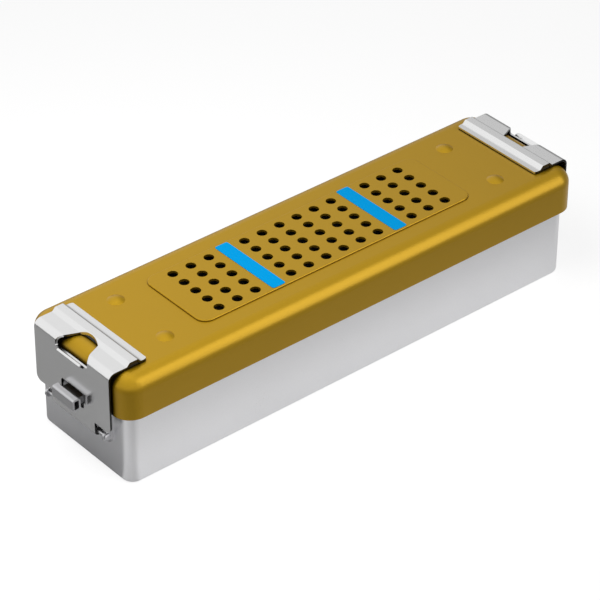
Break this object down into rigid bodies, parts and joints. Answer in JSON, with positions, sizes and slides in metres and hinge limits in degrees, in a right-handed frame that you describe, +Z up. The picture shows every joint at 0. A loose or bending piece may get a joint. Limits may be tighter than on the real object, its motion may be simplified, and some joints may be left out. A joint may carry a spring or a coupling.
{
  "type": "sterilization container",
  "caption": "Long low sterilization container with a perforated lift-off lid, gasket, filter tray and a hinged latch at each end",
  "frame": {"origin": "middle of the footprint, on the surface that the tub stands on", "axes": "+X along the container, -Y out of the front long side, +Z up"},
  "size_m": [0.2742, 0.0702, 0.0591],
  "materials": {
    "tub_aluminium": "satin anodised",
    "gold_anodised": "satin anodised",
    "stainless_steel": "brushed",
    "grey_silicone": "matte",
    "black_silicone": "matte",
    "blue_plastic": "semi-matte",
    "dark_filter": "matte"
  },
  "bodies": {
    "base": {"base_tub": "tub_aluminium", "hinge_leaf_left": "stainless_steel", "hinge_leaf_right": "stainless_steel", "hinge_pin_left": "stainless_steel", "hinge_pin_right": "stainless_steel", "seal_loop_left": "stainless_steel", "seal_loop_right": "stainless_steel", "leaf_rivet_left_front": "stainless_steel", "leaf_rivet_left_back": "stainless_steel", "leaf_rivet_right_front": "stainless_steel", "leaf_rivet_right_back": "stainless_steel"},
    "lid": {"lid_shell": "gold_anodised", "seal_channel": "tub_aluminium", "lid_gasket": "grey_silicone", "filter_tray": "tub_aluminium", "filter_sheet": "dark_filter", "marker_bar_left": "blue_plastic", "marker_bar_right": "blue_plastic", "bar_nut_left_front": "stainless_steel", "bar_nut_left_back": "stainless_steel", "bar_nut_right_front": "stainless_steel", "bar_nut_right_back": "stainless_steel"},
    "latch_left": {"latch_plate_left": "stainless_steel", "latch_pad_left": "black_silicone"},
    "latch_right": {"latch_plate_right": "stainless_steel", "latch_pad_right": "black_silicone"}
  },
  "joints": [
    {"name": "latch_left_swing", "type": "hinge", "parent": "base", "child": "latch_left", "pos_m": [-0.12965, 0, 0.02185], "axis": [0, -1, 0], "range_deg": [0, 117]},
    {"name": "latch_right_swing", "type": "hinge", "parent": "base", "child": "latch_right", "pos_m": [0.12965, 0, 0.02185], "axis": [0, 1, 0], "range_deg": [0, 117.5]},
    {"name": "lid_lift", "type": "slide", "parent": "base", "child": "lid", "axis": [0, 0, 1], "range_m": [0, 0.0165]}
  ],
  "couplings": [
    {"joint": "latch_right_swing", "follows": "latch_left_swing", "ratio": 1},
    {"joint": "lid_lift", "follows": "latch_left_swing", "m_per_rad": 0.008}
  ]
}
